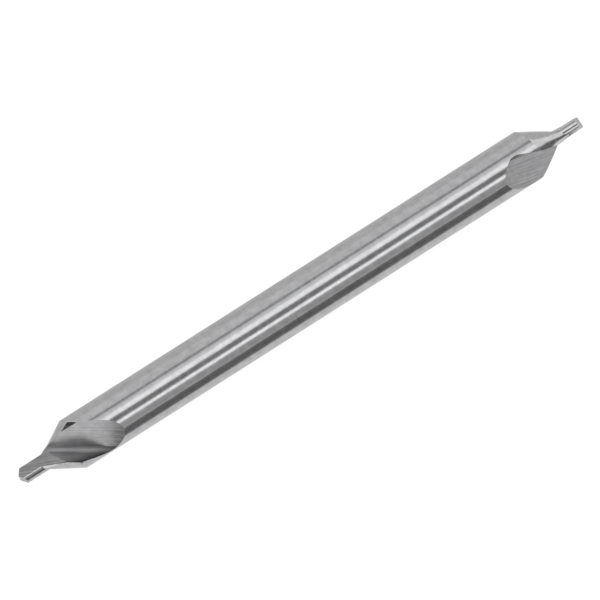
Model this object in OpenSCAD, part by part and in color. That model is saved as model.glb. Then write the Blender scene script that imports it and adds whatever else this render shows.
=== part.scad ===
// Centre drill, double ended: each end of a round bar is ground to a pilot drill and a countersink.
// The tool lies along X with the origin on its axis at mid length. End A points to -X and end B to +X.

/* [Shank] */
// Length from tip to tip
overall_length = 38.8; // [30:0.1:60]
// Diameter of the ground shank
shank_d = 3.15; // [2.8:0.05:3.6]
// Turn of the whole tool about its own axis
clocking = 38; // [0:1:180]

/* [Pilot drill] */
// Diameter of the pilot drill
pilot_d = 1; // [0.9:0.05:1.2]
// Tip of end A to the start of its countersink's cutting edge
pilot_length_a = 1.5; // [1.1:0.05:1.9]
// Tip of end B to the start of its countersink's cutting edge
pilot_length_b = 1.1; // [1:0.05:1.9]
// Thickness left between the two rake faces
pilot_web = 0.62; // [0.4:0.02:0.7]
// Included angle of the drill point
point_angle = 118; // [110:1:130]
// Fall of the point's flanks behind the cutting lips
lip_relief = 10; // [6:1:16]

/* [Countersink] */
// Included angle at the countersink's cutting edges
countersink_angle = 60; // [55:1:70]
// Distance by which the lands' cones are ground off the tool's axis, as the mean of an end's two lands
land_relief = 0.22; // [0.12:0.01:0.26]
// What end A's first land has more than that mean, and its second land less
relief_bias_a = -0.04; // [-0.04:0.01:0.04]
// What end B's first land has more than that mean, and its second land less
relief_bias_b = 0.02; // [-0.04:0.01:0.04]
// Direction of that offset, ahead of the rake face
relief_lead = 54; // [40:1:60]
// Radius where the pilot runs into the countersink
root_r = 0.3; // [0.1:0.05:0.5]

/* [Flutes] */
// Tip of end A to where its flutes run out of the shank
flute_reach_a = 6.6; // [6:0.05:8]
// Tip of end B to where its flutes run out of the shank
flute_reach_b = 5.8; // [5.4:0.05:8]
// Slope of the flute floor against the tool's axis
floor_pitch = 24; // [22:1:28]
// Angle by which the flute runs across the tool, seen square on its floor
flute_skew = 24; // [18:1:28]
// Distance of end A's side walls from the point where the floor meets the axis
wall_offset_a = 0; // [0:0.02:0.24]
// Distance of end B's side walls from the point where the floor meets the axis
wall_offset_b = 0; // [0:0.02:0.24]
// Radius in the corner between the floor and the walls
flute_corner_r = 0.28; // [0.1:0.02:0.36]
// Angle from the direction that the floor faces round to the rake face
rake_turn = 70; // [60:1:80]
// Distance by which the facet on each land's heel stops short of the flute
heel_setback = 1.95; // [1.75:0.05:2.2]
// Angle from the direction that the floor faces round to the heel's facet
heel_turn = 47; // [42:1:56]
// Slope of the heel's facet against the tool's axis
heel_pitch = 25; // [23:1:28]

/* [Hidden] */
$fn = 96;
shank_r = shank_d / 2;
pilot_r = pilot_d / 2;
half_web = pilot_web / 2;
half_countersink = countersink_angle / 2;

// Cutters reach this far past what they cut.
clear = 4 * shank_d;

// Length over which the flute floor falls from the shank's surface to the axis.
floor_run = shank_r / tan(floor_pitch);

// The same for the facet on the heel.
heel_run = shank_r / tan(heel_pitch);

// The rake face and the floor meet in a line that crosses the rake face at this angle to the axis.
rake_line_angle = atan(tan(floor_pitch) / sin(rake_turn));
// Seen along that line, the floor leaves the plane of the rake face at this angle.
rake_corner_start = acos(cos(rake_turn) * cos(floor_pitch));

// The two turns that bring a square cut to the point angle and its lip relief.
lip_turn = 90 - point_angle / 2;
lip_tilt = atan(tan(lip_relief) * cos(lip_turn));

// What a land's offset adds to its radius at the cutting edge.
function edge_gain(relief) = relief * cos(relief_lead - asin(half_web / shank_r));
// Where a land's cone starts and ends, measured from its own axis.
function land_foot_r(relief) = pilot_r - edge_gain(relief);
function land_top_r(relief) = shank_r + 2 * relief;
function land_length(relief) = (land_top_r(relief) - land_foot_r(relief)) / tan(half_countersink);

// Section of a grinding wheel's rim: the region between two directions, with a rounded corner.
module wheel_rim(from, to, r) {
    half = (to - from) / 2;
    middle = (to + from) / 2;
    centre = r / sin(half) * [cos(middle), sin(middle)];
    from_line = [cos(from), sin(from)];
    to_line = [cos(to), sin(to)];
    translate(centre)
        circle(r);
    polygon([
        centre,
        r / tan(half) * from_line,
        clear * from_line,
        2 * clear * [cos(middle), sin(middle)],
        clear * to_line,
        r / tan(half) * to_line
    ]);
}

// Draws a YZ section along X, both ways from the origin.
module ground_along_x() {
    rotate([90, 0, 90])
        linear_extrude(4 * clear, center = true)
            children();
}

// Draws its children square on the rake face: +Z leaves the face, and -Y is towards the cutting edge.
module square_on_rake() {
    rotate([-rake_turn, 0, 0])
        children();
}

// Outline of a land, as radius and distance from the tip: the countersink's cone with its root radius.
module land_outline(pilot_length, relief) {
    blend = root_r * tan(half_countersink / 2);
    foot_r = land_foot_r(relief);
    top_r = land_top_r(relief);
    top = pilot_length + land_length(relief);
    root_start = [foot_r, pilot_length - blend];
    corner = [foot_r, pilot_length];
    root_end = corner + blend * [sin(half_countersink), cos(half_countersink)];
    root_centre = root_start + [root_r, 0];
    polygon([
        [0, root_start.y],
        root_start,
        corner,
        [top_r, top],
        [top_r, top + clear],
        [0, top + clear]
    ]);
    difference() {
        polygon([root_start, corner, root_end, root_centre]);
        translate(root_centre)
            circle(root_r);
    }
}

// One of the two lands, from its rake face backwards, on the axis that relieves it behind the cutting edge.
module land(pilot_length, relief) {
    square_on_rake()
        intersection() {
            translate([0, -relief * cos(relief_lead), relief * sin(relief_lead)])
                rotate([0, 90, 0])
                    rotate_extrude()
                        land_outline(pilot_length, relief);
            translate([-2 * clear, -2 * clear, half_web - 4 * clear])
                cube(4 * clear);
        }
}

// Everything outside the pilot and the two lands.
module countersink_waste(pilot_length, reliefs) {
    waste_length = pilot_length + land_length(max(reliefs));
    difference() {
        translate([-clear, 0, 0])
            rotate([0, 90, 0])
                cylinder(h = clear + waste_length, r = shank_r + min(reliefs) / 2);
        translate([-2 * clear, 0, 0])
            rotate([0, 90, 0])
                cylinder(h = 2 * clear + waste_length, r = pilot_r);
        for (i = [0, 1])
            rotate([180 * i, 0, 0])
                land(pilot_length, reliefs[i]);
    }
}

// The skewed groove: a sloping floor with a side wall square to it.
module flute_groove(axis_crossing, wall_offset) {
    translate([axis_crossing, 0, 0])
        rotate([0, -floor_pitch, 0])
            rotate([0, 0, -flute_skew])
                translate([0, wall_offset, 0])
                    ground_along_x()
                        wheel_rim(0, 90, flute_corner_r);
}

// The rake face along the pilot and the countersink, as far back as the flute floor.
module rake_cut(axis_crossing) {
    translate([axis_crossing + half_web * cos(rake_turn) / tan(floor_pitch), 0, 0])
        square_on_rake()
            translate([0, 0, half_web])
                rotate([0, 0, -rake_line_angle])
                    ground_along_x()
                        wheel_rim(rake_corner_start, 180, flute_corner_r);
}

// The facet that takes the corner off a land's heel, next to the flute floor.
module heel_facet(flute_reach) {
    intersection() {
        translate([flute_reach - heel_setback - heel_run, 0, 0])
            rotate([-heel_turn, 0, 0])
                rotate([0, -heel_pitch, 0])
                    translate([-clear, -clear, 0])
                        cube(2 * clear);
        square_on_rake()
            translate([-clear, -clear, half_web])
                cube(2 * clear);
    }
}

// One flank of the drill point, falling away behind its lip. The two flanks meet in the chisel edge.
module point_flank() {
    square_on_rake()
        rotate([0, -lip_tilt, lip_turn])
            translate([-clear, -clear / 2, -clear / 2])
                cube(clear);
}

// All that is ground off one end: tip at the origin, shank towards +X, a flute floor facing +Z.
module end_cuts(pilot_length, flute_reach, wall_offset, relief_bias) {
    axis_crossing = flute_reach - floor_run;
    countersink_waste(pilot_length, [land_relief + relief_bias, land_relief - relief_bias]);
    for (turn = [0, 180])
        rotate([turn, 0, 0]) {
            flute_groove(axis_crossing, wall_offset);
            rake_cut(axis_crossing);
            heel_facet(flute_reach);
            point_flank();
        }
}

module centre_drill() {
    color("silver")
        rotate([clocking, 0, 0])
            difference() {
                rotate([0, 90, 0])
                    cylinder(h = overall_length + shank_d, r = shank_r, center = true);
                translate([-overall_length / 2, 0, 0])
                    end_cuts(pilot_length_a, flute_reach_a, wall_offset_a, relief_bias_a);
                translate([overall_length / 2, 0, 0])
                    rotate([0, 0, 180])
                        end_cuts(pilot_length_b, flute_reach_b, wall_offset_b, relief_bias_b);
            }
}

centre_drill();
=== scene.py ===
"""Looks of a double-ended centre drill: ground steel, lying on a white table among plain light cards."""

import math

import bmesh
import bpy
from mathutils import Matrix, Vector
from mathutils.bvhtree import BVHTree
from mathutils.interpolate import poly_3d_calc


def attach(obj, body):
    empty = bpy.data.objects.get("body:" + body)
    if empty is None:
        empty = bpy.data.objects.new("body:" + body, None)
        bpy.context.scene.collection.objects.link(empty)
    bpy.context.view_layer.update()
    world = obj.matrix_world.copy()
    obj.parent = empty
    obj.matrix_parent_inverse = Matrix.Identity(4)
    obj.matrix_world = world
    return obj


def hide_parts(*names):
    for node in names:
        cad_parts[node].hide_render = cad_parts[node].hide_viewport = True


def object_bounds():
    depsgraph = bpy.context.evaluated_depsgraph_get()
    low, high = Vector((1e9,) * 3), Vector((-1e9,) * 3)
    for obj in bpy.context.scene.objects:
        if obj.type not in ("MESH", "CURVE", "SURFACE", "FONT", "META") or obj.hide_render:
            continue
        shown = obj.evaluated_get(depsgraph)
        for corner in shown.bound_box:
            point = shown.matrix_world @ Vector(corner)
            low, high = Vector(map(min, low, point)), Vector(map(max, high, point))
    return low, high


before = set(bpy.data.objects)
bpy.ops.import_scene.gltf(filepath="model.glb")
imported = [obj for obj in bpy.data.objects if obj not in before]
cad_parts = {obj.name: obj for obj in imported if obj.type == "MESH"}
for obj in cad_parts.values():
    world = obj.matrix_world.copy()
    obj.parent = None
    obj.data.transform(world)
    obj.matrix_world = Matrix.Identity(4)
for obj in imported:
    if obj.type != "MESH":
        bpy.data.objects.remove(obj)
cad_low, cad_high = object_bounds()

MM = 0.001
NODE = "centre_drill"

# Strips that the shank is cut into, all round
SHANK_STEPS = 144

# Tolerances for telling the solid's surfaces apart, in metres or as shares
SAME_PLACE = 1e-7
ROUND_WITHIN = 2e-6
FLAT_SHARE = 0.9999
STRAIGHT_WITHIN = 0.01
SLOPE_WITHIN = 0.002

# Slope of the flute floors against the tool's axis
FLOOR_PITCH = math.radians(24)

# Finishes, in the order of the drill's materials
SHANK, FLUTE_FLOOR, LAND, OTHER_FLAT, CORNER = range(5)

# Colour of the steel
STEEL = (0.60, 0.60, 0.61)

# Marks that run round the tool, and marks along a flute: coordinates, fineness, height and spread of gloss
MARKS_UV = "grinding"
TURNED_MARKS = {"coordinates": "Object", "fineness": (9000, 300, 300), "height": 1e-7, "spread": 0.0}
GROUND_MARKS = {"coordinates": "UV", "fineness": (0.35, 9, 1), "height": 4e-7, "spread": 0.6}
MARKS_DETAIL = 6.0
MARKS_ROUGHNESS = 0.6

# Turn of the spread gloss against the marks, as a share of a full turn
SPREAD_TURN = 0.25

# Clouds of the steel: spots to the metre, darkest and lightest shade, and height of the waves under them
CLOUD_SCALE = 2200.0
CLOUD_DETAIL = 4.0
CLOUD_SHADES = (0.91, 1.08)
WAVE_HEIGHT = 1.2e-6

# Span of a noise's values that the shades and the gloss are spread over
NOISE_SPAN = (0.3, 0.7)

# From this distance off the axis, a painted shade darkens some finishes towards the shank's surface
PAINTED_SHADE_FROM_R = 0.9 * MM

# Table: colour, and a glow that whitens it for the camera and in reflections
TABLE_Z = cad_low.z
TABLE_HALF = 2.0
TABLE_COLOUR = (0.85, 0.85, 0.85, 1)
TABLE_ROUGHNESS = 0.9
TABLE_GLOW = 1.15
GLOW_SHARE = 0.75

# Plain cards over the tool: name, reach along X, from and to which angle round the tool, and brightness.
# The angle is counted from +Y over the top to -Y.
CARD_RADIUS = 0.15
OVERHEAD_X = (-0.07, 0.12)
RIGHT_X = (0.12, 0.60)
OVERHEAD_CARDS = [
    ("grey_card", OVERHEAD_X, 0, 47, 0.7),
    ("thin_flag", OVERHEAD_X, 47, 57, 0.25),
    ("light_card", OVERHEAD_X, 57, 74, 0.8),
    ("bright_card", OVERHEAD_X, 74, 93, 1.3),
    ("dark_flag", OVERHEAD_X, 93, 116, 0.2),
    ("white_strip", OVERHEAD_X, 116, 128, 1.5),
    ("front_card", OVERHEAD_X, 128, 156, 0.4),
    ("right_light", RIGHT_X, 10, 56, 1.0),
    ("right_flag", RIGHT_X, 56, 112, 0.15),
]

# Plain cards that stand or lie on the table: name, both edges' Y and height in mm, and brightness
TABLE_CARD_X = (-20 * MM, 20 * MM)
TABLE_CARDS = [
    ("front_flag", (-9, 0), (-9, 6), 0.15),
    # Painted shade: a grey card behind the tool that stands in, in reflections, for the table's shade there
    ("back_shade_card", (2.2, 0), (2.2, 3), 0.6),
    # Painted shade: a grey card lying on the table in front of the tool that stands in, in reflections, for
    # the table's shade there
    ("table_shade_card", (-9, 0.01), (0, 0.01), 0.75),
]

# Plain cards square to a direction from the tool: name, direction, width, height and brightness
PANEL_DISTANCE = 0.25
PANELS = [
    ("left_flag", (-0.66, -0.05, 0.75), 0.40, 0.14, 0.06),
    ("right_card", (0.72, -0.68, 0.22), 0.20, 0.10, 0.56),
]

# Camera
CAMERA_ELEVATION = math.radians(80)
CAMERA_AZIMUTH = math.radians(-32.85)
CAMERA_DISTANCE = 0.35
CAMERA_AIM = Vector((-0.09 * MM, 0, 0))
CAMERA_CLIP = (0.01, 10.0)
SENSOR_WIDTH = 36.0
IMAGE_WIDTH = 600
PIXELS_PER_MM = 17.2
FRAME_WIDTH = IMAGE_WIDTH / PIXELS_PER_MM * MM


# Mesh

def islands_of(mesh):
    """A surface number for each face, and their count. Each surface is a separate patch of the mesh."""
    bm = bmesh.new()
    bm.from_mesh(mesh)
    bm.faces.ensure_lookup_table()
    number = [-1] * len(bm.faces)
    count = 0
    for first in bm.faces:
        if number[first.index] >= 0:
            continue
        reached = [first]
        number[first.index] = count
        while reached:
            face = reached.pop()
            for edge in face.edges:
                for other in edge.link_faces:
                    if number[other.index] < 0:
                        number[other.index] = count
                        reached.append(other)
        count += 1
    bm.free()
    return number, count


class Surface:
    """One surface of the solid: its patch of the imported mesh, with the exact normals it carries."""

    def __init__(self, mesh, faces):
        self.points = []
        self.normals = []
        self.triangles = []
        self.area = 0.0
        total = Vector()
        for index in faces:
            polygon = mesh.polygons[index]
            corners = range(polygon.loop_start, polygon.loop_start + polygon.loop_total)
            start = len(self.points)
            self.points += [mesh.vertices[mesh.loops[c].vertex_index].co.copy() for c in corners]
            self.normals += [Vector(mesh.corner_normals[c].vector) for c in corners]
            self.triangles.append(tuple(range(start, len(self.points))))
            self.area += polygon.area
            total += polygon.normal * polygon.area
        self.normal = total.normalized()
        self.is_flat = total.length > FLAT_SHARE * self.area
        radii = [math.hypot(p.y, p.z) for p in self.points]
        self.radius = max(radii)
        self.is_round = max(radii) - min(radii) < ROUND_WITHIN
        self.is_floor = self.is_flat and abs(abs(self.normal.x) - math.sin(FLOOR_PITCH)) < SLOPE_WITHIN
        self.is_fillet = not self.is_flat and not self.is_round and self.runs_straight()
        self.tree = BVHTree.FromPolygons(self.points, self.triangles)

    def runs_straight(self):
        """Whether the surface is drawn along one line: all its normals are square to a common direction."""
        first = self.normals[0]
        line = max((first.cross(n) for n in self.normals), key=lambda v: v.length).normalized()
        return max(abs(line.dot(n)) for n in self.normals) < STRAIGHT_WITHIN

    def normal_at(self, point):
        """The surface's normal at a point of it."""
        if self.is_flat:
            return self.normal
        if self.is_round:
            return Vector((0, point.y, point.z)).normalized()
        place, _, index, _ = self.tree.find_nearest(point)
        corners = self.triangles[index]
        weights = poly_3d_calc([self.points[c] for c in corners], place)
        return sum((w * self.normals[c] for w, c in zip(weights, corners)), Vector()).normalized()


def groove_direction(surface, surfaces):
    """Direction of a surface's grinding marks: along the flute whose floor and wall lie nearest to it."""
    middle = sum(surface.points, Vector()) / len(surface.points)

    def distance(other):
        return (other.tree.find_nearest(middle)[0] - middle).length

    floor = min((s for s in surfaces if s.is_floor), key=distance)
    walls = [s for s in surfaces if s.is_flat and abs(s.normal.dot(floor.normal)) < SLOPE_WITHIN]
    facing = [s for s in walls if s.normal.x * floor.normal.x < 0]
    return floor.normal.cross(min(facing, key=distance).normal).normalized()


def finish_index(surface, is_shank):
    """Which finish a surface has."""
    if is_shank:
        return SHANK
    if surface.is_floor:
        return FLUTE_FLOOR
    if surface.is_fillet:
        return CORNER
    return OTHER_FLAT if surface.is_flat else LAND


def round_shank(bm, tag, shank, radius):
    """Cuts the shank's facets into narrow strips and puts every point of them on the true cylinder."""
    for step in range(SHANK_STEPS // 2):
        angle = step * 2 * math.pi / SHANK_STEPS
        faces = [f for f in bm.faces if f[tag] == shank]
        edges = {e for f in faces for e in f.edges}
        verts = {v for f in faces for v in f.verts}
        bmesh.ops.bisect_plane(
            bm,
            geom=[*faces, *edges, *verts],
            dist=SAME_PLACE,
            plane_co=(0, 0, 0),
            plane_no=(0, math.cos(angle), math.sin(angle)),
        )
    for vert in {v for f in bm.faces if f[tag] == shank for v in f.verts}:
        scale = radius / math.hypot(vert.co.y, vert.co.z)
        vert.co.y *= scale
        vert.co.z *= scale


def finish_mesh():
    """The drill as one mesh of the CAD form: a rounder shank, exact normals and a UV map along the marks."""
    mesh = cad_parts[NODE].data
    number, count = islands_of(mesh)
    faces_of = [[i for i, n in enumerate(number) if n == k] for k in range(count)]
    surfaces = [Surface(mesh, faces) for faces in faces_of]
    bm = bmesh.new()
    bm.from_mesh(mesh)
    tag = bm.faces.layers.int.new("surface")
    for face in bm.faces:
        face[tag] = number[face.index]
    bmesh.ops.remove_doubles(bm, verts=bm.verts, dist=SAME_PLACE)
    shank = max(range(count), key=lambda k: surfaces[k].area)
    round_shank(bm, tag, shank, surfaces[shank].radius)
    directions = [groove_direction(s, surfaces) for s in surfaces]
    uv = bm.loops.layers.uv.new(MARKS_UV)
    normals = []
    for face in bm.faces:
        k = face[tag]
        surface = surfaces[k]
        face.smooth = True
        face.material_index = finish_index(surface, k == shank)
        along = (directions[k] - directions[k].dot(surface.normal) * surface.normal).normalized()
        across = surface.normal.cross(along)
        for loop in face.loops:
            point = loop.vert.co
            loop[uv].uv = (point.dot(along) / MM, point.dot(across) / MM)
            normals.append(surface.normal_at(point))
    made = bpy.data.meshes.new("drill_ground")
    bm.to_mesh(made)
    bm.free()
    made.normals_split_custom_set(normals)
    return made


# Materials

def new_material(name):
    material = bpy.data.materials.new(name)
    material.use_nodes = True
    return material, material.node_tree.nodes, material.node_tree.links


def map_range(nodes, links, value, from_span, to_span):
    """A value carried from one span to another."""
    node = nodes.new("ShaderNodeMapRange")
    ends = ("From Min", "From Max", "To Min", "To Max")
    for end, number in zip(ends, (*from_span, *to_span)):
        node.inputs[end].default_value = number
    links.new(value, node.inputs["Value"])
    return node.outputs["Result"]


def shaded(nodes, links, colour, shade):
    """A colour times a shade."""
    node = nodes.new("ShaderNodeVectorMath")
    node.operation = "SCALE"
    links.new(colour, node.inputs[0])
    links.new(shade, node.inputs["Scale"])
    return node.outputs["Vector"]


def add_bump(nodes, links, height, distance):
    node = nodes.new("ShaderNodeBump")
    node.inputs["Strength"].default_value = 1.0
    node.inputs["Distance"].default_value = distance
    links.new(height, node.inputs["Height"])
    return node


def paint_rim_shade(nodes, links, place, painted_rim_shade):
    """A painted shade: a factor that darkens the colour towards the shank's surface."""
    off_axis = nodes.new("ShaderNodeVectorMath")
    off_axis.operation = "MULTIPLY"
    off_axis.inputs[1].default_value = (0, 1, 1)
    links.new(place.outputs["Object"], off_axis.inputs[0])
    radius = nodes.new("ShaderNodeVectorMath")
    radius.operation = "LENGTH"
    links.new(off_axis.outputs["Vector"], radius.inputs[0])
    return map_range(nodes, links, radius.outputs["Value"], (PAINTED_SHADE_FROM_R, cad_high.z), (1.0, painted_rim_shade))


def spread_gloss(nodes, links, shader, spread):
    """Spreads the gloss across the grinding marks."""
    shader.inputs["Anisotropic"].default_value = spread
    shader.inputs["Anisotropic Rotation"].default_value = SPREAD_TURN
    path = nodes.new("ShaderNodeTangent")
    path.direction_type = "UV_MAP"
    path.uv_map = MARKS_UV
    links.new(path.outputs["Tangent"], shader.inputs["Tangent"])


def ground_steel(name, marks, shades, roughness, painted_rim_shade=1.0):
    """Ground steel: fine marks along the wheel's path and faint clouds, in colour, gloss and relief, and
    where asked a painted shade that darkens the colour towards the shank's surface.
    """
    material, nodes, links = new_material(name)
    shader = nodes["Principled BSDF"]
    shader.inputs["Metallic"].default_value = 1.0
    if marks["spread"]:
        spread_gloss(nodes, links, shader, marks["spread"])
    place = nodes.new("ShaderNodeTexCoord")

    mapping = nodes.new("ShaderNodeMapping")
    mapping.inputs["Scale"].default_value = marks["fineness"]
    links.new(place.outputs[marks["coordinates"]], mapping.inputs["Vector"])
    streaks = nodes.new("ShaderNodeTexNoise")
    streaks.inputs["Scale"].default_value = 1.0
    streaks.inputs["Detail"].default_value = MARKS_DETAIL
    streaks.inputs["Roughness"].default_value = MARKS_ROUGHNESS
    links.new(mapping.outputs["Vector"], streaks.inputs["Vector"])
    streak = streaks.outputs["Fac"]

    clouds = nodes.new("ShaderNodeTexNoise")
    clouds.inputs["Scale"].default_value = CLOUD_SCALE
    clouds.inputs["Detail"].default_value = CLOUD_DETAIL
    links.new(place.outputs["Object"], clouds.inputs["Vector"])
    cloud = clouds.outputs["Fac"]

    colours = nodes.new("ShaderNodeValToRGB")
    for element, position, shade in zip(colours.color_ramp.elements, NOISE_SPAN, shades):
        element.position = position
        element.color = (*[c * shade for c in STEEL], 1)
    links.new(streak, colours.inputs["Fac"])
    cloud_shade = map_range(nodes, links, cloud, NOISE_SPAN, CLOUD_SHADES)
    colour = shaded(nodes, links, colours.outputs["Color"], cloud_shade)
    # Painted shade: the colour darkens towards the shank's surface
    if painted_rim_shade < 1.0:
        colour = shaded(nodes, links, colour, paint_rim_shade(nodes, links, place, painted_rim_shade))
    links.new(colour, shader.inputs["Base Color"])
    links.new(map_range(nodes, links, streak, NOISE_SPAN, roughness), shader.inputs["Roughness"])

    relief = add_bump(nodes, links, streak, marks["height"])
    waves = add_bump(nodes, links, cloud, WAVE_HEIGHT)
    links.new(relief.outputs["Normal"], waves.inputs["Normal"])
    links.new(waves.outputs["Normal"], shader.inputs["Normal"])
    return material


def larger(nodes, links, first, second):
    """The larger of two values."""
    node = nodes.new("ShaderNodeMath")
    node.operation = "MAXIMUM"
    links.new(first, node.inputs[0])
    links.new(second, node.inputs[1])
    return node.outputs[0]


def table_material():
    """White table: a plain white to the camera and in reflections, with part of the tool's shadow on it."""
    material, nodes, links = new_material("table_white")
    shader = nodes["Principled BSDF"]
    shader.inputs["Base Color"].default_value = TABLE_COLOUR
    shader.inputs["Roughness"].default_value = TABLE_ROUGHNESS
    shader.inputs["Specular IOR Level"].default_value = 0.0
    glow = nodes.new("ShaderNodeEmission")
    glow.inputs["Strength"].default_value = TABLE_GLOW
    path = nodes.new("ShaderNodeLightPath").outputs
    seen = larger(nodes, links, path["Is Camera Ray"], path["Is Glossy Ray"])
    seen = larger(nodes, links, seen, path["Is Transmission Ray"])
    share = nodes.new("ShaderNodeMath")
    share.operation = "MULTIPLY"
    share.inputs[1].default_value = GLOW_SHARE
    links.new(seen, share.inputs[0])
    mix = nodes.new("ShaderNodeMixShader")
    links.new(share.outputs[0], mix.inputs["Fac"])
    links.new(shader.outputs["BSDF"], mix.inputs[1])
    links.new(glow.outputs["Emission"], mix.inputs[2])
    links.new(mix.outputs["Shader"], nodes["Material Output"].inputs["Surface"])
    return material


def card_material(name, level):
    """A card of one brightness."""
    material, nodes, links = new_material(name)
    nodes.remove(nodes["Principled BSDF"])
    glow = nodes.new("ShaderNodeEmission")
    glow.inputs["Strength"].default_value = level
    links.new(glow.outputs["Emission"], nodes["Material Output"].inputs["Surface"])
    return material


# Stage

def add_object(name, data):
    made = bpy.data.objects.new(name, data)
    bpy.context.scene.collection.objects.link(made)
    return made


def add_sheet(name, x_reach, edges, material):
    """A flat sheet that runs along X, between two edges given by their Y and Z. It isn't part of the tool."""
    from_x, to_x = x_reach
    (first_y, first_z), (second_y, second_z) = edges
    corners = [
        (from_x, first_y, first_z),
        (to_x, first_y, first_z),
        (to_x, second_y, second_z),
        (from_x, second_y, second_z),
    ]
    mesh = bpy.data.meshes.new(name)
    mesh.from_pydata(corners, [], [(0, 1, 2, 3)])
    mesh.materials.append(material)
    sheet = add_object(name, mesh)
    return sheet


def add_card(name, x_reach, edges, level):
    """A plain card that only reflections see."""
    card = add_sheet(name, x_reach, edges, card_material(name, level))
    card.visible_camera = False
    card.visible_diffuse = False
    card.visible_shadow = False
    card.visible_transmission = False
    return card


def add_panel(name, direction, width, height, level):
    """A plain card square to a direction from the tool."""
    edges = [(-height / 2, 0), (height / 2, 0)]
    card = add_card(name, (-width / 2, width / 2), edges, level)
    card.location = direction * PANEL_DISTANCE
    card.rotation_mode = "QUATERNION"
    card.rotation_quaternion = direction.to_track_quat("Z", "Y")


def overhead_edge(angle):
    """Y and Z of an overhead card's edge."""
    turn = math.radians(angle)
    return CARD_RADIUS * math.cos(turn), CARD_RADIUS * math.sin(turn)


def add_stage():
    table_edges = [(-TABLE_HALF, TABLE_Z), (TABLE_HALF, TABLE_Z)]
    add_sheet("table", (-TABLE_HALF, TABLE_HALF), table_edges, table_material())
    for name, x_reach, from_angle, to_angle, level in OVERHEAD_CARDS:
        add_card(name, x_reach, [overhead_edge(from_angle), overhead_edge(to_angle)], level)
    for name, *edges, level in TABLE_CARDS:
        add_card(name, TABLE_CARD_X, [(y * MM, TABLE_Z + height * MM) for y, height in edges], level)
    for name, direction, width, height, level in PANELS:
        add_panel(name, Vector(direction).normalized(), width, height, level)


def add_camera():
    back = Vector((
        math.sin(CAMERA_AZIMUTH) * math.cos(CAMERA_ELEVATION),
        -math.cos(CAMERA_AZIMUTH) * math.cos(CAMERA_ELEVATION),
        math.sin(CAMERA_ELEVATION),
    ))
    data = bpy.data.cameras.new("camera")
    data.sensor_width = SENSOR_WIDTH
    data.lens = SENSOR_WIDTH * CAMERA_DISTANCE / FRAME_WIDTH
    data.clip_start, data.clip_end = CAMERA_CLIP
    camera = add_object("camera", data)
    camera.location = CAMERA_AIM + back * CAMERA_DISTANCE
    camera.rotation_mode = "QUATERNION"
    camera.rotation_quaternion = (-back).to_track_quat("-Z", "Y")
    bpy.context.scene.camera = camera


def add_world():
    world = bpy.data.worlds.new("white_room")
    world.use_nodes = True
    background = world.node_tree.nodes["Background"]
    background.inputs["Color"].default_value = (1, 1, 1, 1)
    background.inputs["Strength"].default_value = 1.0
    bpy.context.scene.world = world


def add_drill():
    mesh = finish_mesh()
    # The shank and lands stay near the steel's own shade. The lower shades of the flute floors, rake faces
    # and corners are painted shade: the same steel is set darker there to stand in for the darker light these
    # faces reflect. The spread within each pair of shades is the grinding marks.
    finishes = {
        SHANK: ground_steel("shank_ground", TURNED_MARKS, (0.96, 1.03), (0.16, 0.22)),
        FLUTE_FLOOR: ground_steel("flute_ground", GROUND_MARKS, (0.60, 0.86), (0.20, 0.28)),
        LAND: ground_steel("land_ground", TURNED_MARKS, (0.92, 1.03), (0.14, 0.20)),
        # The rake faces and corners carry a painted shade that darkens them towards the shank's surface
        OTHER_FLAT: ground_steel("rake_ground", GROUND_MARKS, (0.42, 0.92), (0.30, 0.40), painted_rim_shade=0.15),
        CORNER: ground_steel("corner_ground", GROUND_MARKS, (0.52, 0.86), (0.42, 0.52), painted_rim_shade=0.35),
    }
    for index in sorted(finishes):
        mesh.materials.append(finishes[index])
    drill = add_object("drill", mesh)
    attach(drill, "root")
    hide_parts(NODE)


bpy.context.scene.view_settings.view_transform = "Standard"
add_world()
add_stage()
add_camera()
add_drill()

bpy.context.view_layer.update()
